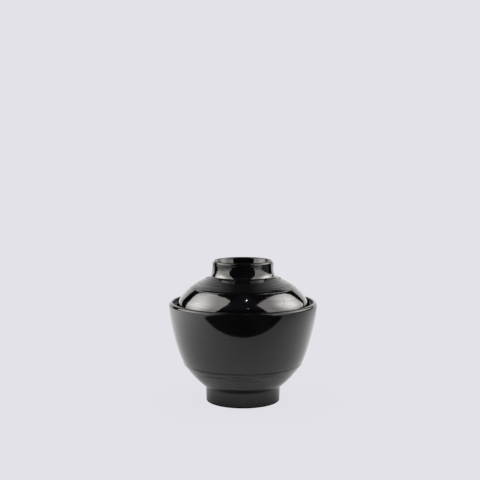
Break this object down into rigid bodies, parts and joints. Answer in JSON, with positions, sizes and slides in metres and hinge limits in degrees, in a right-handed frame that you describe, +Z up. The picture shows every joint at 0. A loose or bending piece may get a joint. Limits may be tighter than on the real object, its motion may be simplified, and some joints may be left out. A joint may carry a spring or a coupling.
{
  "type": "lidded rice bowl",
  "caption": "Rice bowl on a foot ring, with a domed lid that sits inside the rim and is lifted by a hollow ring handle.",
  "frame": {"origin": "centre of the foot ring's base, on the axis, where the bowl meets the table", "axes": "+Z up along the axis of both turned pieces; X and Y are level and free, because both are round"},
  "size_m": [0.11, 0.11, 0.1052],
  "materials": {
    "bowl_lacquer": "turned wood under high-gloss black lacquer",
    "lid_lacquer": "turned wood under high-gloss black lacquer"
  },
  "bodies": {
    "bowl": {"bowl": "bowl_lacquer"},
    "lid": {"lid": "lid_lacquer"}
  },
  "joints": [
    {"name": "lid_lift", "type": "slide", "parent": "bowl", "child": "lid", "axis": [0, 0, 1], "range_m": [0, 0.08]}
  ]
}
